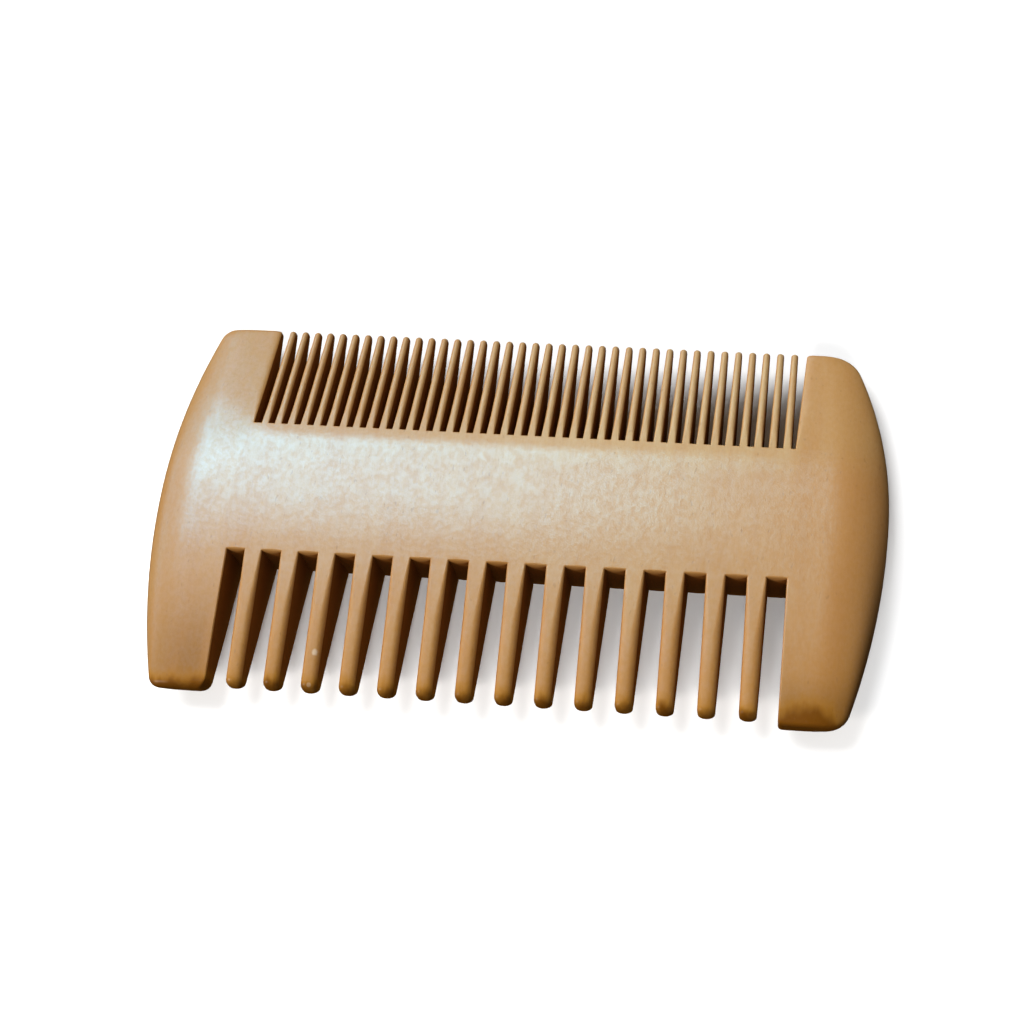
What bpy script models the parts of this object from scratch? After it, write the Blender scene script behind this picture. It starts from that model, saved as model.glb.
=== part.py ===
"""Double-sided wooden comb: wide teeth on the -Y side, fine teeth on the +Y side.

The comb lies flat.  X runs along its length, Y along its teeth, +Z is up, and the origin is on
the resting surface under the middle of the comb.  Metres throughout.

The real comb is sawn from one board.  It is modelled here as the regions a comb maker names: a
spine, two end guards, and every wide and fine tooth as a body of its own, each held a hair's
breadth from its neighbour.  All of them share one thickness profile, a flat land along the
middle that is ground down towards both rows of tips.
"""
import math

import bmesh
import bpy

MM = 0.001

# Driving dimensions
LENGTH = 100.0 * MM
LAND_THICKNESS = 8.2 * MM
BUTT_GAP = 0.3 * MM          # clearance kept between neighbouring bodies

# Stations across the comb, from the wide tips (-Y) to the fine tips (+Y), on the centre line
GUARD_BOTTOM_Y = -26.6 * MM
WIDE_TIP_Y = -26.0 * MM
WIDE_ROOT_Y = -7.9 * MM
LAND_START_Y = -2.3 * MM
LAND_END_Y = 9.7 * MM
FINE_ROOT_Y = 10.8 * MM
FINE_TIP_Y = 26.8 * MM
GUARD_TOP_Y = 26.9 * MM

# Half thickness at the tips; the wide side falls in a curve, the fine side in a straight bevel
WIDE_TIP_HALF_T = 1.35 * MM
FINE_TIP_HALF_T = 0.65 * MM
WIDE_FALL_STRAIGHT_SHARE = 0.44

# The long edges splay a little towards -X: the slope dy/dx of a line across the comb at each edge
SLANT_WIDE_TIPS = 0.020
SLANT_WIDE_ROOTS = 0.0125
SLANT_FINE_TIPS = -0.0095

# Wide teeth
WIDE_COUNT = 14
WIDE_PITCH = 5.18 * MM
WIDE_CENTRE_X = 0.2 * MM
WIDE_ROOT_WIDTH = 2.5 * MM
WIDE_TIP_WIDTH = 2.2 * MM
WIDE_TIP_RADIUS = 0.85 * MM
WIDE_EDGE_RADIUS = 0.4 * MM

# Fine teeth
FINE_COUNT = 39
FINE_PITCH = 1.897 * MM
FINE_CENTRE_X = 0.4 * MM
FINE_ROOT_WIDTH = 1.06 * MM
FINE_TIP_WIDTH = 0.8 * MM
FINE_TIP_RADIUS = 0.34 * MM
FINE_EDGE_RADIUS = 0.22 * MM

# End guards: each rim is two arcs that meet at its widest station, and every corner is rounded
GUARD_INNER_REACH = 37.4 * MM    # from the middle of the wide row to either guard
GUARD_BULGE_Y = 2.3 * MM
GUARD_RIM_LENGTH = 6.5 * MM      # how far in from the rim the faces start to round over
GUARD_END_RADIUS = 1.1 * MM      # rounding of the two short end faces
GUARD_INNER_CHAMFER = 0.35 * MM
LEFT_RIM = {"upper": 75 * MM, "lower": 92 * MM, "top_corner": 3.2 * MM, "bottom_corner": 2.6 * MM}
RIGHT_RIM = {"upper": 56 * MM, "lower": 98 * MM, "top_corner": 4.5 * MM, "bottom_corner": 2.8 * MM}

MID_Z = LAND_THICKNESS / 2


def clear_scene():
    for old in list(bpy.data.objects):
        bpy.data.objects.remove(old, do_unlink=True)


def wood(name, colour, roughness):
    """A satin wood surface."""
    material = bpy.data.materials.new(name)
    material.use_nodes = True
    shader = material.node_tree.nodes["Principled BSDF"]
    shader.inputs["Base Color"].default_value = (*colour, 1.0)
    shader.inputs["Roughness"].default_value = roughness
    shader.inputs["Metallic"].default_value = 0.0
    return material


def mix(a, b, share):
    return a + (b - a) * share


def half_thickness(y):
    """Half the comb's thickness at station y: flat land, curved fall, straight bevel."""
    half = LAND_THICKNESS / 2
    if y < LAND_START_Y:
        run = (LAND_START_Y - y) / (LAND_START_Y - WIDE_TIP_Y)
        drop = half - WIDE_TIP_HALF_T
        return half - drop * mix(run * run, run, WIDE_FALL_STRAIGHT_SHARE)
    if y > LAND_END_Y:
        run = (y - LAND_END_Y) / (FINE_TIP_Y - LAND_END_Y)
        return half - (half - FINE_TIP_HALF_T) * run
    return half


def slant(y):
    """Slope dy/dx of the line across the comb that passes through station y."""
    if y <= WIDE_ROOT_Y:
        share = (y - WIDE_TIP_Y) / (WIDE_ROOT_Y - WIDE_TIP_Y)
        return mix(SLANT_WIDE_TIPS, SLANT_WIDE_ROOTS, share)
    if y <= FINE_ROOT_Y:
        return mix(SLANT_WIDE_ROOTS, 0.0, (y - WIDE_ROOT_Y) / (FINE_ROOT_Y - WIDE_ROOT_Y))
    return mix(0.0, SLANT_FINE_TIPS, (y - FINE_ROOT_Y) / (FINE_TIP_Y - FINE_ROOT_Y))


def place(x, y, z):
    """A point of the straight comb, moved onto the slightly splayed one."""
    return (x, y + slant(y) * x, z + MID_Z)


def loft(name, sections, material):
    """One closed body through equal-length closed sections, capped at both ends."""
    mesh = bpy.data.meshes.new(name)
    bm = bmesh.new()
    rings = [[bm.verts.new(place(*point)) for point in section] for section in sections]
    for near, far in zip(rings[:-1], rings[1:]):
        for k in range(len(near)):
            after = (k + 1) % len(near)
            bm.faces.new((near[k], near[after], far[after], far[k]))
    bm.faces.new(list(reversed(rings[0])))
    bm.faces.new(rings[-1])
    bmesh.ops.recalc_face_normals(bm, faces=bm.faces)
    bm.to_mesh(mesh)
    bm.free()
    mesh.shade_smooth()
    mesh.set_sharp_from_angle(angle=math.radians(30))
    body = bpy.data.objects.new(name, mesh)
    body.data.materials.append(material)
    bpy.context.scene.collection.objects.link(body)
    return body


def rounded_rectangle(centre_x, y, half_width, half_height, radius, steps):
    """Points of an XZ section with rounded corners, counter-clockwise seen from -Y."""
    radius = min(radius, half_width * 0.95, half_height * 0.95)
    points = []
    for quarter in range(4):
        sign_x = 1 if quarter in (0, 3) else -1
        sign_z = 1 if quarter in (0, 1) else -1
        for step in range(steps + 1):
            angle = math.radians(90 * quarter + 90 * step / steps)
            x = centre_x + sign_x * (half_width - radius) + radius * math.cos(angle)
            z = sign_z * (half_height - radius) + radius * math.sin(angle)
            points.append((x, y, z))
    return points


def tooth_sections(centre_x, root_y, tip_y, widths, tip_radius, edge_radius, spans, corner_steps):
    """Sections of one tooth from its root to its rounded tip."""
    root_width, tip_width = widths
    towards_tip = 1 if tip_y > root_y else -1
    shoulder_y = tip_y - towards_tip * tip_radius
    stations = [mix(root_y, shoulder_y, k / spans) for k in range(spans + 1)]
    sections = []
    for y in stations:
        half_width = mix(root_width, tip_width, (y - root_y) / (tip_y - root_y)) / 2
        sections.append(rounded_rectangle(centre_x, y, half_width, half_thickness(y),
                                          edge_radius, corner_steps))
    for degrees in (35, 65, 85):
        angle = math.radians(degrees)
        inset = tip_radius * (1 - math.cos(angle))
        y = shoulder_y + towards_tip * tip_radius * math.sin(angle)
        half_width = tip_width / 2 - inset
        half_height = half_thickness(shoulder_y) - inset * 0.8
        sections.append(rounded_rectangle(centre_x, y, half_width, half_height,
                                          edge_radius, corner_steps))
    return sections


def wide_tooth(number, material):
    centre_x = WIDE_CENTRE_X + (number - (WIDE_COUNT + 1) / 2) * WIDE_PITCH
    sections = tooth_sections(centre_x, WIDE_ROOT_Y - BUTT_GAP, WIDE_TIP_Y,
                              (WIDE_ROOT_WIDTH, WIDE_TIP_WIDTH), WIDE_TIP_RADIUS,
                              WIDE_EDGE_RADIUS, spans=4, corner_steps=2)
    return loft(f"wide_tooth_{number:02d}", sections, material)


def fine_tooth(number, material):
    centre_x = FINE_CENTRE_X + (number - (FINE_COUNT + 1) / 2) * FINE_PITCH
    sections = tooth_sections(centre_x, FINE_ROOT_Y + BUTT_GAP, FINE_TIP_Y,
                              (FINE_ROOT_WIDTH, FINE_TIP_WIDTH), FINE_TIP_RADIUS,
                              FINE_EDGE_RADIUS, spans=1, corner_steps=1)
    return loft(f"fine_tooth_{number:02d}", sections, material)


def spine(material):
    """The plain bar between both rows of teeth, from one end guard to the other."""
    curved = [mix(WIDE_ROOT_Y, LAND_START_Y, k / 4) for k in range(5)]
    stations = curved + [LAND_END_Y, FINE_ROOT_Y]
    outline = [(y, half_thickness(y)) for y in stations]
    outline += [(y, -half) for y, half in reversed(outline)]
    reach = GUARD_INNER_REACH - BUTT_GAP
    sections = [[(WIDE_CENTRE_X + x, y, z) for y, z in outline] for x in (-reach, reach)]
    return loft("spine", sections, material)


def rim_reach(y, rim):
    """Distance from the comb's middle to a guard's bulged rim at station y."""
    if y > GUARD_BULGE_Y:
        arc, corner, corner_y = rim["upper"], rim["top_corner"], GUARD_TOP_Y - rim["top_corner"]
    else:
        arc, corner = rim["lower"], rim["bottom_corner"]
        corner_y = GUARD_BOTTOM_Y + corner
    arc_centre = LENGTH / 2 - arc
    rise = corner_y - GUARD_BULGE_Y
    tangent_rise = rise * arc / (arc - corner)
    if abs(y - GUARD_BULGE_Y) < abs(tangent_rise):
        return arc_centre + math.sqrt(arc ** 2 - (y - GUARD_BULGE_Y) ** 2)
    corner_centre = arc_centre + math.sqrt((arc - corner) ** 2 - rise ** 2)
    return corner_centre + math.sqrt(max(0.0, corner ** 2 - (y - corner_y) ** 2))


def guard_stations(rim):
    """Stations from bottom to top, close together where the corners turn."""
    almost_square = math.radians(88)
    turns = [almost_square * step / 6 for step in range(7)]
    low = GUARD_BOTTOM_Y + rim["bottom_corner"]
    high = GUARD_TOP_Y - rim["top_corner"]
    stations = [low - rim["bottom_corner"] * math.sin(turn) for turn in reversed(turns)]
    stations += [mix(low, high, k / 12) for k in range(1, 12)]
    stations += [high + rim["top_corner"] * math.sin(turn) for turn in turns]
    return sorted(stations + [LAND_START_Y, GUARD_BULGE_Y, LAND_END_Y])


def guard(name, side, rim, material):
    """One end guard; side is -1 at the left end and +1 at the right end."""
    inner = GUARD_INNER_REACH + side * WIDE_CENTRE_X
    sections = []
    for y in guard_stations(rim):
        to_end = min(y - GUARD_BOTTOM_Y, GUARD_TOP_Y - y)
        half = half_thickness(y)
        if to_end < GUARD_END_RADIUS:
            turned = 1 - to_end / GUARD_END_RADIUS
            half *= mix(0.35, 1.0, math.sqrt(1 - turned * turned))
        reach = rim_reach(y, rim)
        round_over = min(GUARD_RIM_LENGTH, (reach - inner) * 0.6)
        upper = [(inner, half - GUARD_INNER_CHAMFER * half / LAND_THICKNESS),
                 (inner + GUARD_INNER_CHAMFER, half)]
        for step in range(7):
            angle = math.radians(90 * (1 - step / 7))
            upper.append((reach - round_over * (1 - math.cos(angle)), half * math.sin(angle)))
        profile = upper + [(reach, 0.0)] + [(x, -z) for x, z in reversed(upper)]
        sections.append([(side * x, y, z) for x, z in profile])
    return loft(name, sections, material)


def build():
    clear_scene()
    spine_wood = wood("spine_wood", (0.62, 0.43, 0.25), 0.38)
    guard_wood = wood("guard_wood", (0.58, 0.38, 0.20), 0.38)
    wide_wood = wood("wide_tooth_wood", (0.52, 0.32, 0.16), 0.42)
    fine_wood = wood("fine_tooth_wood", (0.50, 0.31, 0.16), 0.45)
    spine(spine_wood)
    guard("left_end_guard", -1, LEFT_RIM, guard_wood)
    guard("right_end_guard", 1, RIGHT_RIM, guard_wood)
    for number in range(1, WIDE_COUNT + 1):
        wide_tooth(number, wide_wood)
    for number in range(1, FINE_COUNT + 1):
        fine_tooth(number, fine_wood)


build()
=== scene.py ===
import math

import bpy
import numpy as np
from mathutils import Matrix, Vector

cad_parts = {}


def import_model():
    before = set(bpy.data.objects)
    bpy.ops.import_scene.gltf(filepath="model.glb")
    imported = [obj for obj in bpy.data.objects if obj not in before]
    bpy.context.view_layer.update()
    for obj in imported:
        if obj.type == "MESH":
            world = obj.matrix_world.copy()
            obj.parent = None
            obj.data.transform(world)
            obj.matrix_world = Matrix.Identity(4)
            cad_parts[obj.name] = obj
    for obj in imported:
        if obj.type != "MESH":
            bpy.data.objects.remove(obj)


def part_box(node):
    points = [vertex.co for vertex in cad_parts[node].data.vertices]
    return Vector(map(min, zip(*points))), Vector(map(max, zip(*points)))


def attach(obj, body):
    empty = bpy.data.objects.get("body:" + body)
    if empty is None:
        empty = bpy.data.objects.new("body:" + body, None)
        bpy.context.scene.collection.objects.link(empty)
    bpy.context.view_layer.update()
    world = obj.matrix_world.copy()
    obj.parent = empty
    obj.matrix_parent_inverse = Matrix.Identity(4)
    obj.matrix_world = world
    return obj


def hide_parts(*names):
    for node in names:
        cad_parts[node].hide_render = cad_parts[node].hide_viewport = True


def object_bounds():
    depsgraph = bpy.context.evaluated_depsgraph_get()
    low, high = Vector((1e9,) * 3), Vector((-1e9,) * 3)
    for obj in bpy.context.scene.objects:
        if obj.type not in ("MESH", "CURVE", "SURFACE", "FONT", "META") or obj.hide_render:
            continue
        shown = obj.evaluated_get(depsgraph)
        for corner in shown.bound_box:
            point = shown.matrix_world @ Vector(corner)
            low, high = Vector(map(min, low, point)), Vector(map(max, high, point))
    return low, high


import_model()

CAD_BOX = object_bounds()
MM = 0.001

# ---------------------------------------------------------------- lines of the comb, in mm
WIDE_TIP_Y, WIDE_ROOT_Y = -26.0, -7.9
LAND_START_Y, LAND_MIDDLE_Y, LAND_END_Y = -2.0, 4.0, 8.9
FINE_ROOT_Y, FINE_TIP_Y = 10.8, 26.95
WIDE_TIP_HALF_T, FINE_TIP_HALF_T = 1.35, 0.65
WIDE_FALL_STRAIGHT_SHARE = 0.6
LAND_START_SOFT, LAND_END_SOFT = 4.0, 0.9       # how softly the land runs into each slope
LAND_CROWN_SHARE, LAND_CROWN_SOFT = 0.12, 5.0   # the land's slight crown, towards the fine row
SLANT_STATIONS = (WIDE_TIP_Y, WIDE_ROOT_Y, FINE_ROOT_Y, FINE_TIP_Y)
SLANTS = (0.020, 0.0125, 0.0, -0.0095)          # how much each cross line leans, as dy/dx

# The two rows of teeth. A tooth's edges are rounded over edge_x of its face and fall by edge_z.
# Pairs are values at the root and further out: edges grow over edge_grows, and lean moves a tooth
# sideways by the time it reaches its tip. Steps and row set how finely the mesh is drawn.
WIDE = {
    "name": "wide", "count": 14, "root_y": WIDE_ROOT_Y, "tip_y": WIDE_TIP_Y,
    "root_w": 2.5, "tip_w": 2.2, "lean": (0.0, 0.0), "tip_radius": 0.8, "tip_round_z": 1.15,
    "edge_x": (0.24, 1.0), "edge_z": (0.24, 0.7), "edge_grows": 8.0,
    "round_steps": 8, "flat_steps": 3, "wall_steps": 5, "gap_steps": 9, "row": 0.7,
}
FINE = {
    "name": "fine", "count": 39, "root_y": FINE_ROOT_Y, "tip_y": FINE_TIP_Y,
    "root_w": 1.06, "tip_w": 0.92, "lean": (0.08, 0.15), "tip_radius": 0.42, "tip_round_z": 0.5,
    "edge_x": (0.14, 0.42), "edge_z": (0.14, 0.43), "edge_grows": 3.0,
    "round_steps": 5, "flat_steps": 1, "wall_steps": 3, "gap_steps": 3, "row": 0.8,
}
TIP_STEPS = 9
MAX_EDGE_SHARE = 0.96       # of half a tooth's width or thickness that a rounded edge may take

# The end of each wide gap curves out, and its edge is rounded most in the middle of the gap.
WIDE_GAP_BULGE, WIDE_GAP_EDGE_X, WIDE_GAP_EDGE_Z = 0.2, 0.5, 0.85

# Over the guards the land runs into each slope more softly than LAND_START_SOFT and
# LAND_END_SOFT, up to these from GUARD_SOFT_FROM_X outwards.
GUARD_SOFT_FROM_X, GUARD_SOFT_OVER = 33.0, 11.0
GUARD_START_SOFT = 7.5
GUARD_END_SOFT_LEFT, GUARD_END_SOFT_RIGHT = 8.0, 3.5

GUARD_BOTTOM_Y, GUARD_TOP_Y, GUARD_BULGE_Y = -26.6, 26.9, 2.3
TOP_INNER_CORNER, TOP_END_RADIUS = 0.5, 0.4
MAX_END_RADIUS_SHARE = 0.7  # of a guard's half thickness that its rounded end may take
MAX_RIM_SHARE = 0.6         # of the way from inner edge to outline that the rim may take
GUARD_FINE_EDGE_X, GUARD_FINE_EDGE_Z, GUARD_FINE_EDGE_GROWS = 1.2, 0.32, 7
GAP_SIDE_REACH = 1.5        # how far over a guard the cut wood beside a gap reaches, where the gap walls get painted shade

# How finely the spine's and the guards' meshes are drawn
WALL_STEPS, RIM_STEPS, INNER_EDGE_STEPS, FACE_STEPS = 4, 16, 6, 6
LAND_START_STEPS, LAND_STEPS, LAND_END_STEPS = 12, 5, 6
END_STEPS, CORNER_STEPS, LOWER_STEPS, UPPER_STEPS = 7, 10, 22, 18
SAME_ROW = 1e-4             # rows closer than this are one

# Each rim is two long arcs, above and below the bulge, and a rounded corner at either end.
# rim_length is how far it rolls over, and opens is how much the inner edge widens to the tips.
RIMS = {
    "left_end_guard": {
        "side": -1, "upper": 75, "lower": 92, "top_corner": 2.3, "bottom_corner": 1.9,
        "inner_corner": 1.5, "end_radius": 0.9, "rim_length": 7.6, "opens": 0.0,
    },
    "right_end_guard": {
        "side": 1, "upper": 56, "lower": 98, "top_corner": 4.5, "bottom_corner": 2.8,
        "inner_corner": 0.6, "end_radius": 0.45, "rim_length": 7.4, "opens": 0.65,
    },
}


def box_mm(node):
    lo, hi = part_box(node)
    return np.array(lo) / MM, np.array(hi) / MM


THICKNESS = (CAD_BOX[1].z - CAD_BOX[0].z) / MM
MID_Z = THICKNESS / 2
HALF_LENGTH = (CAD_BOX[1].x - CAD_BOX[0].x) / MM / 2
LEFT_INNER_X = box_mm("left_end_guard")[1][0]
RIGHT_INNER_X = box_mm("right_end_guard")[0][0]


def tooth_names(kind):
    return [f"{kind['name']}_tooth_{n:02d}" for n in range(1, kind["count"] + 1)]


def tooth_centre(name):
    lo, hi = box_mm(name)
    return (lo[0] + hi[0]) / 2


def root_centres(kind):
    return [tooth_centre(name) + kind["lean"][0] for name in tooth_names(kind)]


# ---------------------------------------------------------------- shared profile
def mix(a, b, share):
    return a + (b - a) * share


def smooth(t):
    """0 to 1 as t goes from 0 to 1, easing in and out."""
    t = np.clip(t, 0, 1)
    return t * t * (3 - 2 * t)


def soft_ramp(t, width):
    """0 before a corner and t after it, turning over a stretch of width each side."""
    return np.where(t < -width, 0.0, np.where(t > width, t, (t + width) ** 2 / (4 * width)))


def half_thickness(y, x=0.0):
    """Half the comb's thickness: flat in the middle, falling to both rows of tips."""
    y = np.asarray(y, float)
    outward = smooth((abs(x) - GUARD_SOFT_FROM_X) / GUARD_SOFT_OVER)
    half = THICKNESS / 2
    soft = mix(LAND_START_SOFT, GUARD_START_SOFT, outward)
    run = soft_ramp(LAND_START_Y - y, soft) / (LAND_START_Y - WIDE_TIP_Y)
    wide = (half - WIDE_TIP_HALF_T) * mix(run * run, run, WIDE_FALL_STRAIGHT_SHARE)
    guard_soft = np.where(np.asarray(x) < 0, GUARD_END_SOFT_LEFT, GUARD_END_SOFT_RIGHT)
    soft = mix(LAND_END_SOFT, guard_soft, outward)
    run = soft_ramp(y - LAND_END_Y, soft) / (FINE_TIP_Y - LAND_END_Y)
    crown = soft_ramp(y - LAND_MIDDLE_Y, LAND_CROWN_SOFT) / (FINE_TIP_Y - LAND_MIDDLE_Y)
    return half - wide - (half - FINE_TIP_HALF_T) * mix(run, crown, LAND_CROWN_SHARE)


def place(points):
    """Points in mm about the comb's middle plane, leaned with the cross lines, in metres."""
    placed = np.array(points, float)
    placed[..., 1] += np.interp(placed[..., 1], SLANT_STATIONS, SLANTS) * placed[..., 0]
    placed[..., 2] += MID_Z
    return placed * MM


def edge_drop(distance, reach, depth):
    """How far a rounded edge has fallen, at a distance in from the outline."""
    t = 1 - np.clip(distance / reach, 0, 1)
    return depth * (1 - np.sqrt(1 - t * t))


def quarter(steps):
    """1 - cos over a quarter turn: stations that sample a rounded edge evenly."""
    return 1 - np.cos(np.linspace(0, math.pi / 2, steps + 1))


def inside(low, high, steps):
    """Stations strictly between low and high."""
    return np.linspace(low, high, steps + 2)[1:-1]


# ---------------------------------------------------------------- meshes
def area_vectors(verts, faces):
    """Each face's normal times its area."""
    found = np.zeros((len(faces), 3))
    for i, f in enumerate(faces):
        p = verts[f]
        found[i] = np.cross(p, np.roll(p, -1, 0)).sum(0) / 2
    return found


def quad_vectors(verts, quads):
    """The same, for quads all at once."""
    p = verts[quads]
    return np.cross(p[:, 2] - p[:, 0], p[:, 3] - p[:, 1]) / 2


def skin(name, rings, hidden=None, joint_caps=(False, False)):
    """One closed mesh through rings of points. Faces that lie against a neighbour (hidden, and
    joint caps) stay out of the shading, so the comb reads as the single piece it is."""
    rows, cols = rings.shape[:2]
    verts = place(rings).reshape(-1, 3)
    r, c = np.mgrid[0:rows - 1, 0:cols]
    nxt = (c + 1) % cols
    quads = np.stack([r * cols + c, r * cols + nxt, (r + 1) * cols + nxt, (r + 1) * cols + c], -1)
    quads = quads.reshape(-1, 4)
    caps = [np.arange(cols)[::-1], np.arange((rows - 1) * cols, rows * cols)]
    vectors = np.concatenate([quad_vectors(verts, quads), area_vectors(verts, caps)])
    middles = np.concatenate([verts[quads].mean(1), [verts[f].mean(0) for f in caps]])
    if (vectors * (middles - verts.mean(0))).sum() < 0:
        quads, caps, vectors = quads[:, ::-1], [f[::-1] for f in caps], -vectors
    covered = np.zeros(len(quads) + 2, int)
    if hidden is not None:
        covered[:len(quads)] = hidden.reshape(-1)
    covered[-2:] = joint_caps
    faces = [*quads, *caps]
    total = np.zeros((2, len(verts), 3))
    for f, vector, group in zip(faces, vectors, covered):
        total[group, f] += vector
    total /= np.maximum(np.linalg.norm(total, axis=2, keepdims=True), 1e-12)
    normals = [total[group, v] for f, group in zip(faces, covered) for v in f]
    mesh = bpy.data.meshes.new(name)
    mesh.from_pydata(verts.tolist(), [], [f.tolist() for f in faces])
    mesh.shade_smooth()
    mesh.normals_split_custom_set(normals)
    piece = bpy.data.objects.new(name, mesh)
    bpy.context.scene.collection.objects.link(piece)
    return piece


def paint_gap_side(piece, values):
    """How near each point is to a gap, 0 to 1, which the wood reads."""
    layer = piece.data.attributes.new("gap_side", "FLOAT", "POINT")
    layer.data.foreach_set("value", np.asarray(values, np.float32).reshape(-1))


def dress(piece, node, wood):
    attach(piece, "root")
    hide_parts(node)
    piece.data.materials.append(wood)


# ---------------------------------------------------------------- teeth
def across(half_width, edge, kind):
    """Offsets across a tooth's face, close together over its rounded edges."""
    side = edge * quarter(kind["round_steps"])
    flat = inside(-half_width + edge, half_width - edge, kind["flat_steps"])
    return np.concatenate([side - half_width, flat, (half_width - side)[::-1]])


def tooth_ring(centre, y, half_width, half, edge_x, edge_z, kind):
    xs = across(half_width, edge_x, kind)
    top = half - edge_drop(half_width - abs(xs), edge_x, edge_z)
    wall = inside(half - edge_z, edge_z - half, kind["wall_steps"])
    side = np.full(len(wall), half_width)
    x = np.concatenate([xs, side, xs[::-1], -side])
    z = np.concatenate([top, wall, -top[::-1], -wall])
    return np.stack([x + centre, np.full(len(x), y), z], 1)


def tooth(name, kind):
    centre, root, tip = tooth_centre(name), kind["root_y"], kind["tip_y"]
    way = math.copysign(1, tip - root)
    length = abs(tip - root)
    tip_zone = max(kind["tip_radius"], kind["tip_round_z"])
    ends = tip_zone * quarter(TIP_STEPS)
    body = np.linspace(length, tip_zone, int(length / kind["row"]) + 1)[:-1]
    rings = []
    for left in [*body, *ends[::-1]]:
        y = tip - way * left
        share = 1 - left / length
        half_width = mix(kind["root_w"], kind["tip_w"], share) / 2
        half_width -= edge_drop(left, kind["tip_radius"], kind["tip_radius"])
        half = float(half_thickness(y))
        half -= edge_drop(left, kind["tip_round_z"], kind["tip_round_z"])
        grown = np.clip((length - left) / kind["edge_grows"], 0, 1)
        edge_x = min(mix(*kind["edge_x"], grown), MAX_EDGE_SHARE * half_width)
        edge_z = min(mix(*kind["edge_z"], grown), MAX_EDGE_SHARE * half)
        x = centre + mix(*kind["lean"], share)
        rings.append(tooth_ring(x, y, half_width, half, edge_x, edge_z, kind))
    piece = skin(name + "_body", np.array(rings), joint_caps=(True, False))
    paint_gap_side(piece, np.ones(len(piece.data.vertices)))
    return piece


# ---------------------------------------------------------------- spine
def tooth_edges(kind):
    """Where gaps and teeth meet along a row, from one end guard to the other."""
    edges = [LEFT_INNER_X]
    for centre in root_centres(kind):
        edges += [centre - kind["root_w"] / 2, centre + kind["root_w"] / 2]
    return np.array([*edges, RIGHT_INNER_X])


def row_stations(kind):
    """Stations along the spine that meet one row's teeth point for point."""
    edges = tooth_edges(kind)
    found = [edges]
    for centre in root_centres(kind):
        found.append(centre + across(kind["root_w"] / 2, kind["edge_x"][0], kind))
    for low, high in zip(edges[0::2], edges[1::2]):
        found.append(inside(low, high, kind["gap_steps"]))
    return np.concatenate(found)


def root_place(x, kind):
    """For stations x: whether each is in a gap, its distance to the nearest tooth edge, and its
    share of the way over the gap."""
    edges = tooth_edges(kind)
    i = np.clip(np.searchsorted(edges, x, "right") - 1, 0, len(edges) - 2)
    low, high = edges[i], edges[i + 1]
    return i % 2 == 0, np.minimum(x - low, high - x), (x - low) / (high - low)


def spine_rows():
    """Stations over the spine, from the wide roots to the fine ones, shared with the guards."""
    start = WIDE_ROOT_Y + WIDE["edge_x"][0] * quarter(WIDE["round_steps"])
    end = FINE_ROOT_Y - FINE["edge_x"][0] * quarter(FINE["round_steps"])[::-1]
    return start, np.concatenate([
        inside(start[-1], LAND_START_Y + LAND_START_SOFT, LAND_START_STEPS),
        np.linspace(LAND_START_Y + LAND_START_SOFT, LAND_END_Y - LAND_END_SOFT, LAND_STEPS),
        inside(LAND_END_Y - LAND_END_SOFT, end[0], LAND_END_STEPS),
    ]), end


def spine():
    xs = np.unique(np.round(np.concatenate([row_stations(WIDE), row_stations(FINE)]), 5))
    start, middle, end = spine_rows()
    wide_gap, wide_near, wide_share = root_place(xs, WIDE)
    fine_gap, fine_near, _ = root_place(xs, FINE)
    middling = np.where(wide_gap, 1 - (2 * wide_share - 1) ** 2, 0.0)[:, None]
    gap_end = WIDE_ROOT_Y - WIDE_GAP_BULGE * middling
    edge_x = mix(WIDE["edge_x"][0], WIDE_GAP_EDGE_X, middling)
    edge_z = mix(WIDE["edge_z"][0], WIDE_GAP_EDGE_Z, middling)
    y = np.tile(np.concatenate([start, middle, end]), (len(xs), 1))
    y[:, :len(start)] = gap_end + edge_x * quarter(WIDE["round_steps"])
    from_wide = np.where(wide_gap[:, None], y - gap_end,
                         np.hypot(wide_near[:, None], y - WIDE_ROOT_Y))
    from_fine = np.where(fine_gap[:, None], FINE_ROOT_Y - y,
                         np.hypot(fine_near[:, None], FINE_ROOT_Y - y))
    top = half_thickness(y, xs[:, None]) - edge_drop(from_wide, edge_x, edge_z)
    top -= edge_drop(from_fine, FINE["edge_x"][0], FINE["edge_z"][0])
    down = inside(1, -1, WALL_STEPS)
    ys = np.concatenate([y, np.repeat(y[:, -1:], WALL_STEPS, 1), y[:, ::-1],
                         np.repeat(y[:, :1], WALL_STEPS, 1)], 1)
    zs = np.concatenate([top, top[:, -1:] * down, -top[:, ::-1], -top[:, :1] * down], 1)
    rings = np.stack([np.repeat(xs[:, None], ys.shape[1], 1), ys, zs], -1)
    hidden = np.zeros((len(xs) - 1, ys.shape[1]), int)
    between = (xs[1:] + xs[:-1]) / 2
    n = y.shape[1]
    hidden[~root_place(between, FINE)[0], n - 1:n + WALL_STEPS] = 1
    hidden[~root_place(between, WIDE)[0], 2 * n + WALL_STEPS - 1:] = 1
    piece = skin("spine_body", rings, hidden, joint_caps=(True, True))
    paint_gap_side(piece, np.ones(len(piece.data.vertices)))
    return piece


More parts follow.
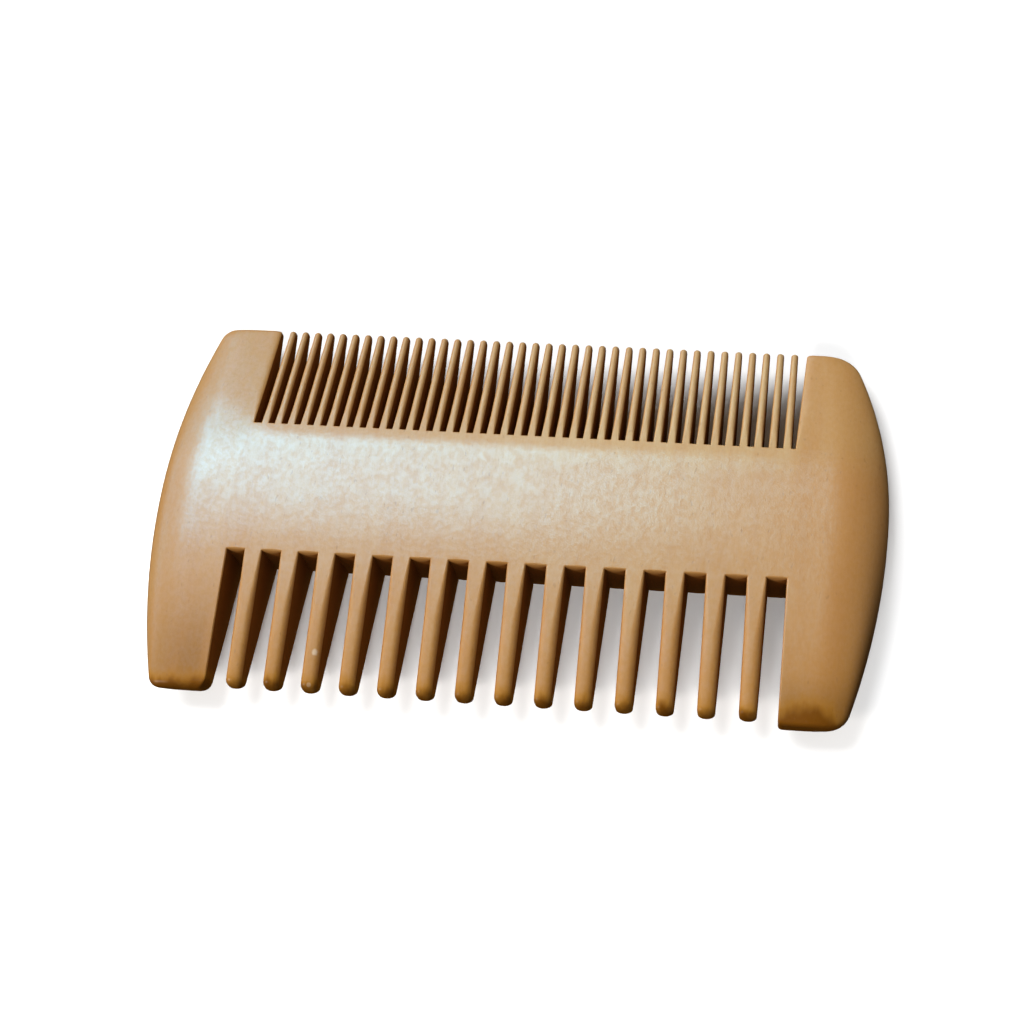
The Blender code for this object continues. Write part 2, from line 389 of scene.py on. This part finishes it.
# ---------------------------------------------------------------- end guards
def rim_reach(y, rim):
    """How far out a guard's outer edge is at station y."""
    if y > GUARD_BULGE_Y:
        arc, corner, corner_y = rim["upper"], rim["top_corner"], GUARD_TOP_Y - rim["top_corner"]
    else:
        arc, corner = rim["lower"], rim["bottom_corner"]
        corner_y = GUARD_BOTTOM_Y + corner
    centre = HALF_LENGTH - arc
    rise = corner_y - GUARD_BULGE_Y
    if abs(y - GUARD_BULGE_Y) < abs(rise * arc / (arc - corner)):
        return centre + math.sqrt(arc ** 2 - (y - GUARD_BULGE_Y) ** 2)
    centre += math.sqrt((arc - corner) ** 2 - rise ** 2)
    return centre + math.sqrt(max(0.0, corner ** 2 - (y - corner_y) ** 2))


def guard_rows(rim):
    start, middle, end = spine_rows()
    low, high = GUARD_BOTTOM_Y, GUARD_TOP_Y
    rows = np.concatenate([
        low + rim["end_radius"] * quarter(END_STEPS),
        low + rim["bottom_corner"] * quarter(CORNER_STEPS),
        inside(low + rim["bottom_corner"], WIDE_ROOT_Y, LOWER_STEPS),
        start, middle, end,
        inside(FINE_ROOT_Y, high - rim["top_corner"], UPPER_STEPS),
        high - rim["top_corner"] * quarter(CORNER_STEPS),
        high - TOP_END_RADIUS * quarter(END_STEPS),
    ])
    rows = np.sort(rows)
    return rows[np.concatenate([[True], np.diff(rows) > SAME_ROW])]


def inner_edge(y):
    """(reach, depth, distance in y to the nearest gap) of a guard's rounded inner edge."""
    if y >= FINE_ROOT_Y:
        grown = min(1.0, (y - FINE_ROOT_Y) / GUARD_FINE_EDGE_GROWS)
        return (mix(FINE["edge_x"][0], GUARD_FINE_EDGE_X, grown),
                mix(FINE["edge_z"][0], GUARD_FINE_EDGE_Z, grown), 0.0)
    if y > (WIDE_ROOT_Y + FINE_ROOT_Y) / 2:
        return FINE["edge_x"][0], FINE["edge_z"][0], FINE_ROOT_Y - y
    return WIDE["edge_x"][0], WIDE["edge_z"][0], max(0.0, y - WIDE_ROOT_Y)


def end_guard(name):
    rim = RIMS[name]
    side, root_inner = rim["side"], abs(LEFT_INNER_X if rim["side"] < 0 else RIGHT_INNER_X)
    angles = np.linspace(0, math.pi / 2, RIM_STEPS + 1)
    down = inside(-1, 1, WALL_STEPS)
    rows = guard_rows(rim)
    rings = []
    for y in rows:
        reach = rim_reach(y, rim)
        left = min(y - GUARD_BOTTOM_Y, GUARD_TOP_Y - y)
        end_radius = rim["end_radius"] if y < 0 else TOP_END_RADIUS
        radius = min(end_radius, MAX_END_RADIUS_SHARE * float(half_thickness(y)))
        fine_share = max(0.0, (y - FINE_ROOT_Y) / (GUARD_TOP_Y - FINE_ROOT_Y))
        inner = root_inner + rim["opens"] * fine_share
        inner += edge_drop(y - GUARD_BOTTOM_Y, rim["inner_corner"], rim["inner_corner"])
        inner += edge_drop(GUARD_TOP_Y - y, TOP_INNER_CORNER, TOP_INNER_CORNER)
        rim_start = reach - min(rim["rim_length"], MAX_RIM_SHARE * (reach - inner))
        edge, depth, beyond = inner_edge(y)
        edge = min(edge, (rim_start - inner) / 2)
        x = np.concatenate([inner + edge * quarter(INNER_EDGE_STEPS),
                            inside(inner + edge, rim_start, FACE_STEPS),
                            rim_start + (reach - rim_start) * np.sin(angles)])
        half = half_thickness(y, side * x) - edge_drop(left, radius, radius)
        fall = np.ones(len(x))
        fall[-len(angles):] = np.cos(angles)
        top = half * fall - edge_drop(np.hypot(x - inner, beyond), edge, depth)
        top[-1] = 0.0
        xs = np.concatenate([x, x[-2::-1], np.full(WALL_STEPS, inner)])
        zs = np.concatenate([top, -top[-2::-1], top[0] * down])
        rings.append(np.stack([side * xs, np.full(len(xs), y), zs], 1))
    rings = np.array(rings)
    hidden = np.zeros((len(rows) - 1, rings.shape[1]), int)
    between = (rows[1:] + rows[:-1]) / 2
    n = 2 * len(x) - 1
    hidden[(between > WIDE_ROOT_Y) & (between < FINE_ROOT_Y), n - 1:] = 1
    piece = skin(name + "_body", rings, hidden)
    from_gap = abs(rings[..., 0]) - root_inner
    paint_gap_side(piece, np.clip(1 - from_gap / GAP_SIDE_REACH, 0, 1))
    return piece


# ---------------------------------------------------------------- wood
class Tree:
    """Short calls for building one material's nodes."""

    def __init__(self, name):
        self.material = bpy.data.materials.new(name)
        self.material.use_nodes = True
        self.nodes = self.material.node_tree.nodes
        self.links = self.material.node_tree.links
        self.shader = self.nodes["Principled BSDF"]

    def node(self, kind, inputs=(), **settings):
        made = self.nodes.new(kind)
        for key, value in settings.items():
            setattr(made, key, value)
        for key, value in dict(inputs).items():
            self.put(made.inputs[key], value)
        return made

    def put(self, socket, value):
        if isinstance(value, bpy.types.NodeSocket):
            self.links.new(value, socket)
        else:
            socket.default_value = value

    def math(self, operation, a, b=0.0):
        return self.node("ShaderNodeMath", {0: a, 1: b}, operation=operation).outputs[0]

    def times(self, first, *others):
        for other in others:
            first = self.math("MULTIPLY", first, other)
        return first

    def about_half(self, noise, size):
        """A noise that swings by size about 0."""
        return self.times(self.math("SUBTRACT", noise, 0.5), size)

    def parts(self, vector):
        return self.node("ShaderNodeSeparateXYZ", {0: vector}).outputs

    def scaled(self, vector, scale):
        return self.node("ShaderNodeMapping", {"Vector": vector, "Scale": scale}).outputs[0]

    def noise(self, vector, scale, detail, roughness, distortion):
        made = self.node("ShaderNodeTexNoise", {
            "Vector": self.scaled(vector, scale), "Scale": 1.0, "Detail": detail,
            "Roughness": roughness, "Distortion": distortion})
        return made.outputs["Fac"]

    def ramp(self, value, low, high, to_low=0.0, to_high=1.0):
        made = self.node("ShaderNodeMapRange", {
            "Value": value, "From Min": low, "From Max": high,
            "To Min": to_low, "To Max": to_high}, interpolation_type="SMOOTHSTEP")
        return made.outputs[0]

    def blend(self, share, a, b):
        made = self.node("ShaderNodeMix", data_type="RGBA")
        self.put(made.inputs[0], share)
        for socket, value in ((made.inputs[6], a), (made.inputs[7], b)):
            self.put(socket, (*value, 1.0) if isinstance(value, tuple) else value)
        return made.outputs[2]


NOISES = {                  # scale along x, y and z per mm, detail, roughness, distortion
    "broad": ((0.09, 0.05, 0.1), 3.0, 0.5, 0.6),
    "streaks": ((0.5, 0.03, 0.5), 3.0, 0.55, 0.3),
    "fibres": ((4.5, 0.6, 4.5), 2.0, 0.6, 0.0),
    "pores": ((3.0, 1.1, 3.0), 0.0, 0.5, 0.0),
    "peel": ((1.9, 1.5, 1.9), 2.0, 0.5, 0.0),
    "polish": ((0.75, 0.5, 0.75), 1.0, 0.5, 0.0),
    "ragged": ((0.38, 0.30, 0.38), 2.0, 0.5, 0.0),
}
COLOURS = {
    "base": (0.445, 0.220, 0.060), "base_pale": (0.456, 0.242, 0.080),
    "right": (0.455, 0.226, 0.069), "wide_tips": (0.420, 0.199, 0.044),
    "guard_bottoms": (0.290, 0.132, 0.027), "left_rim": (0.375, 0.212, 0.080),
    "fine_left": (0.425, 0.244, 0.092), "fine_right": (0.485, 0.320, 0.144),
    "fine_guard_left": (0.385, 0.202, 0.052), "fine_guard_right": (0.446, 0.244, 0.082),
    "streak": (0.410, 0.190, 0.050), "fibre": (0.250, 0.100, 0.030),
    # the next two are painted bounce light on the gaps' lips and painted shade on their walls
    "painted_bounce": (0.420, 0.168, 0.030), "gap_wall_shade": (0.160, 0.050, 0.006),
    "tinge": (0.350, 0.152, 0.014), "stain": (0.145, 0.047, 0.002),
    # the first colour here is painted shade on the right guard's lower rim
    "right_rim_shade": (0.130, 0.055, 0.010), "chip": (0.640, 0.500, 0.350),
    "pore": (0.200, 0.090, 0.030),
}
FADES = {                   # where each starts and is full, and its share there; places are in mm
    # wall and the next key mask the gap walls for painted shade and their rounded edges for
    # painted bounce light
    "wall": (0.45, 0.05, 1.0), "painted_bounce": (0.98, 0.5, 0.5),
    "base_pale": (0.35, 0.65, 1.0), "right": (24.0, 42.0, 0.9), "wide_tips": (-13.0, -25.0, 0.9),
    "guards": (35.5, 39.0, 1.0), "left_guard": (-35.5, -39.0, 1.0),
    "left_bottom": (-9.0, -24.0, 0.85), "right_bottom": (-19.0, -25.0, 0.85),
    "fine_to_right": (-30.0, 25.0, 1.0), "fine_guard_to_right": (-20.0, 20.0, 1.0),
    "fine_side": (4.5, 11.5, 1.0), "left_rim": (-40.0, -49.0, 0.8),
    "streak": (0.42, 0.68, 0.3), "fibre": (0.42, 0.7, 0.08), "pore": (0.76, 0.84, 0.25),
    "patch_left": (36.5, 40.0, 1.3), "patch_right": (45.0, 41.0, 1.0),
    "tinge": (-23.3, -25.6, 0.75), "stain": (-24.6, -26.4, 0.88),
    # these three place painted shade on the right guard's lower rim, facing away from the lamps
    "right_rim_shade_x": (42.0, 45.0, 0.9), "right_rim_shade_y": (4.0, -20.0, 1.0),
    "right_rim_shade_facing": (0.35, 0.85, 1.0),
}
# how much painted shade darkens the gap walls
GAP_WALL_SHADE_SHARE = 0.65
RAGGED_REACH, STREAK_REACH = 3.0, 2.4       # how unevenly the stain has crept up the wood, in mm
CHIPS = ((-22.7, -21.5, 0.42, 0.75), (-22.95, -25.75, 0.28, 0.35))  # x, y, radius, paleness
CHIP_START, CHIP_FULL, CHIP_RAGGED = 1.3, 0.5, 1.1      # in radii
ROUGHNESS, CUT_ROUGHNESS = 0.31, 0.3        # of the faces, and how much rougher saw cuts are
PEEL_SHINE = (0.35, 0.65, 0.41, 0.59)       # the specular level that the peel noise gives
POLISH_SHINE = (0.3, 0.7, 0.9, 1.1)         # and how unevenly it is polished
STAIN_DULLS = 0.95
PORE_DEPTH, BUMP_STRENGTH, BUMP_HEIGHT = -0.7, 0.36, 0.04 * MM


class Wood(Tree):
    """The comb's oiled wood: tones, grain, saw cuts with painted shade and painted bounce light,
    stain with painted shade on the right rim, chips and pores, in that order.
    """

    def __init__(self):
        super().__init__("oiled_peach_wood")
        where = self.node("ShaderNodeTexCoord").outputs["Object"]
        mm = self.scaled(where, (1 / MM, 1 / MM, 1 / MM))
        self.x, self.y, _ = self.parts(mm)
        self.level = self.math("SUBTRACT", self.y, self.times(self.x, SLANTS[0]))
        facing = self.node("ShaderNodeNewGeometry").outputs["Normal"]
        self.facing_x, _, facing_z = self.parts(facing)
        self.facing_up = self.math("ABSOLUTE", facing_z)
        self.noises = {name: self.noise(mm, *row) for name, row in NOISES.items()}
        self.gap_side = self.node("ShaderNodeAttribute", attribute_name="gap_side").outputs["Fac"]
        # the gap walls: their saw cuts are rougher, and their colour gets painted shade
        self.saw_cut_and_shade = self.times(self.gap_side, self.fade(self.facing_up, "wall"))
        self.colour = self.blend(self.fade(self.noises["broad"], "base_pale"),
                                 COLOURS["base"], COLOURS["base_pale"])
        self.tones()
        self.grain()
        self.painted_gap_shade_and_bounce()
        self.stains_and_rim_shade()
        self.chips()
        self.surface()

    def fade(self, value, name):
        low, high, share = FADES[name]
        return self.ramp(value, low, high, 0.0, share)

    def tint(self, share, name):
        self.colour = self.blend(share, self.colour, COLOURS[name])

    def tones(self):
        """Broad shifts of colour from one part of the comb to another."""
        self.tint(self.fade(self.x, "right"), "right")
        self.tint(self.fade(self.level, "wide_tips"), "wide_tips")
        left = self.times(self.fade(self.x, "left_guard"), self.fade(self.level, "left_bottom"))
        right = self.times(self.fade(self.x, "guards"), self.fade(self.level, "right_bottom"))
        self.tint(self.math("ADD", left, right), "guard_bottoms")
        teeth = self.blend(self.fade(self.x, "fine_to_right"),
                           COLOURS["fine_left"], COLOURS["fine_right"])
        guards = self.blend(self.fade(self.x, "fine_guard_to_right"),
                            COLOURS["fine_guard_left"], COLOURS["fine_guard_right"])
        on_guard = self.fade(self.math("ABSOLUTE", self.x), "guards")
        self.colour = self.blend(self.fade(self.level, "fine_side"), self.colour,
                                 self.blend(on_guard, teeth, guards))
        self.tint(self.fade(self.x, "left_rim"), "left_rim")

    def grain(self):
        """Streaks and fibres that run along the teeth."""
        self.tint(self.fade(self.noises["streaks"], "streak"), "streak")
        self.tint(self.fade(self.noises["fibres"], "fibre"), "fibre")

    def painted_gap_shade_and_bounce(self):
        """Painted shade that darkens the walls of the gaps, and painted bounce light that makes
        their lips browner where they meet the faces.
        """
        # painted bounce light: an orange tint on the gap side's lips and rounded edges
        self.tint(self.times(self.gap_side, self.fade(self.facing_up, "painted_bounce")), "painted_bounce")
        # painted shade darkening the gap walls
        self.tint(self.times(self.saw_cut_and_shade, GAP_WALL_SHADE_SHARE), "gap_wall_shade")

    def stains_and_rim_shade(self):
        """A dark patch soaked into the guards' bottom ends, and painted shade on the right guard's
        lower rim where it faces away from the lamps.
        """
        patch = self.times(self.fade(self.x, "patch_left"), self.fade(self.x, "patch_right"))
        reach = self.math("ADD", patch, self.about_half(self.noises["ragged"], RAGGED_REACH))
        reach = self.math("ADD", reach, self.about_half(self.noises["streaks"], STREAK_REACH))
        depth = self.math("SUBTRACT", self.level, reach)
        tinge, stain = self.fade(depth, "tinge"), self.fade(depth, "stain")
        self.tint(tinge, "tinge")
        self.tint(stain, "stain")
        self.matt = self.math("MAXIMUM", tinge, stain)
        # painted shade on the lower right rim, which faces away from the lamps
        self.tint(self.times(self.fade(self.x, "right_rim_shade_x"),
                             self.fade(self.level, "right_rim_shade_y"),
                             self.fade(self.facing_x, "right_rim_shade_facing")), "right_rim_shade")

    def chips(self):
        """Pale spots on one wide tooth, where the finish has come off."""
        for chip_x, chip_y, radius, paleness in CHIPS:
            along = self.math("POWER", self.math("SUBTRACT", self.x, chip_x), 2.0)
            over = self.math("POWER", self.math("SUBTRACT", self.y, chip_y), 2.0)
            away = self.math("SQRT", self.math("ADD", along, over))
            uneven = self.about_half(self.noises["peel"], CHIP_RAGGED * radius)
            away = self.math("ADD", away, uneven)
            chip = self.ramp(away, CHIP_START * radius, CHIP_FULL * radius, 0.0, paleness)
            self.tint(chip, "chip")

    def surface(self):
        """Pores, gloss and relief, and the links into the shader."""
        peel = self.noises["peel"]
        pore = self.fade(self.noises["pores"], "pore")
        self.tint(pore, "pore")
        self.put(self.shader.inputs["Base Color"], self.colour)
        roughness = self.math("ADD", ROUGHNESS, self.times(self.saw_cut_and_shade, CUT_ROUGHNESS))
        self.put(self.shader.inputs["Roughness"], roughness)
        shine = self.times(self.ramp(peel, *PEEL_SHINE), self.math("SUBTRACT", 1.0, self.saw_cut_and_shade),
                           self.ramp(self.noises["polish"], *POLISH_SHINE),
                           self.math("SUBTRACT", 1.0, self.times(self.matt, STAIN_DULLS)))
        self.put(self.shader.inputs["Specular IOR Level"], shine)
        height = self.math("ADD", peel, self.times(pore, PORE_DEPTH))
        bump = self.node("ShaderNodeBump", {
            "Height": height, "Strength": BUMP_STRENGTH, "Distance": BUMP_HEIGHT})
        self.put(self.shader.inputs["Normal"], bump.outputs[0])


# ---------------------------------------------------------------- stage
FLOOR_HALF_SIZE, FLOOR_GAP = 0.5, 0.02 * MM
FLOOR_GREY, FLOOR_ROUGHNESS, FLOOR_SPECULAR = 0.93, 0.9, 0.1
LAMP_DISTANCE = 1.2
LAMPS = (       # name, where it hangs, size in m, watts of red, green and blue, turn, seen by
    ("sky", (-0.46, 0.46, 0.76), (0.9, 0.9), (18.8, 18.8, 18.8), 0.0, "diffuse"),
    ("window", (-0.36, 0.445, 0.815), (0.60, 0.37), (2.6, 8.8, 12.9), -0.35, "glossy"),
    ("side_window", (-0.56, 0.42, 0.70), (0.22, 0.62), (0.8, 4.3, 7.0), 0.0, "glossy"),
    ("wall", (-0.86, 0.35, 0.41), (0.7, 0.7), (0.8, 3.2, 5.0), 0.0, "glossy"),
    ("glow", (-0.10, 0.395, 0.915), (0.28, 0.88), (1.6, 3.2, 3.3), 0.0, "glossy"),
    ("front", (-0.76, -0.50, 0.42), (0.2, 0.2), (5.8, 5.4, 4.9), 0.0, "diffuse and glossy"),
)
FLOOR_LAMP = ("floor_light", (0.05, -0.85, 0.52), (0.6, 0.6), (17.3, 17.3, 17.3), 0.0, "diffuse")
WORLD_LIGHT = 0.2       # how strongly the world lights the scene; the camera sees it as white
LENS, SENSOR, NEAREST = 54.52, 36, 0.005
CAMERA_AT = (0.04144, -0.07849, 0.19363)
CAMERA_RIGHT = (0.97895545, 0.13014868, -0.15718664)
CAMERA_FORWARD = (-0.19562857, 0.37919825, -0.90439934)


def floor():
    mesh = bpy.data.meshes.new("floor")
    z = CAD_BOX[0].z - FLOOR_GAP
    corners = [(FLOOR_HALF_SIZE * x, FLOOR_HALF_SIZE * y, z)
               for x, y in ((-1, -1), (1, -1), (1, 1), (-1, 1))]
    mesh.from_pydata(corners, [], [(0, 1, 2, 3)])
    made = bpy.data.objects.new("floor", mesh)
    bpy.context.scene.collection.objects.link(made)
    t = Tree("pale_floor")
    t.shader.inputs["Base Color"].default_value = (FLOOR_GREY, FLOOR_GREY, FLOOR_GREY, 1)
    t.shader.inputs["Roughness"].default_value = FLOOR_ROUGHNESS
    t.shader.inputs["Specular IOR Level"].default_value = FLOOR_SPECULAR
    mesh.materials.append(t.material)
    made.visible_diffuse = made.visible_glossy = False
    return made


def area_light(name, direction, size, watts, turn, seen_by):
    """A soft lamp that looks at the comb from LAMP_DISTANCE. turn swings its long side about Z."""
    data = bpy.data.lights.new(name, "AREA")
    data.shape = "RECTANGLE"
    data.size, data.size_y = size
    data.energy = max(watts)
    data.color = [w / max(watts) for w in watts]
    lamp = bpy.data.objects.new(name, data)
    back = Vector(direction).normalized()
    along = Vector((math.cos(turn), math.sin(turn), 0))
    along = (along - back * along.dot(back)).normalized()
    axes = Matrix((along, back.cross(along), back)).transposed().to_4x4()
    lamp.matrix_world = Matrix.Translation(back * LAMP_DISTANCE) @ axes
    lamp.visible_diffuse = "diffuse" in seen_by
    lamp.visible_glossy = "glossy" in seen_by
    bpy.context.scene.collection.objects.link(lamp)
    return lamp


def world():
    """White behind everything, but only a faint light on the comb, and none in its gloss."""
    made = bpy.data.worlds.new("studio")
    made.use_nodes = True
    nodes, links = made.node_tree.nodes, made.node_tree.links
    nodes["Background"].inputs["Color"].default_value = (1.0, 1.0, 1.0, 1)
    path, strength = nodes.new("ShaderNodeLightPath"), nodes.new("ShaderNodeMapRange")
    strength.inputs["To Min"].default_value = WORLD_LIGHT
    strength.inputs["To Max"].default_value = 1.0
    links.new(path.outputs["Is Camera Ray"], strength.inputs["Value"])
    links.new(strength.outputs[0], nodes["Background"].inputs["Strength"])
    bpy.context.scene.world = made
    made.cycles_visibility.glossy = False


def studio(ground):
    for lamp in LAMPS:
        area_light(*lamp)
    lit = bpy.data.collections.new("floor_only")
    lit.objects.link(ground)
    area_light(*FLOOR_LAMP).light_linking.receiver_collection = lit
    world()
    bpy.context.scene.view_settings.view_transform = "Standard"


def camera():
    data = bpy.data.cameras.new("camera")
    data.sensor_width, data.lens, data.clip_start = SENSOR, LENS, NEAREST
    made = bpy.data.objects.new("camera", data)
    up = np.cross(CAMERA_RIGHT, CAMERA_FORWARD)
    rows = [(CAMERA_RIGHT[i], up[i], -CAMERA_FORWARD[i], CAMERA_AT[i]) for i in range(3)]
    made.matrix_world = Matrix([*rows, (0, 0, 0, 1)])
    bpy.context.scene.collection.objects.link(made)
    bpy.context.scene.camera = made


camera()
studio(floor())
WOOD = Wood().material
dress(spine(), "spine", WOOD)
for guard in RIMS:
    dress(end_guard(guard), guard, WOOD)
for row in (WIDE, FINE):
    for tooth_name in tooth_names(row):
        dress(tooth(tooth_name, row), tooth_name, WOOD)
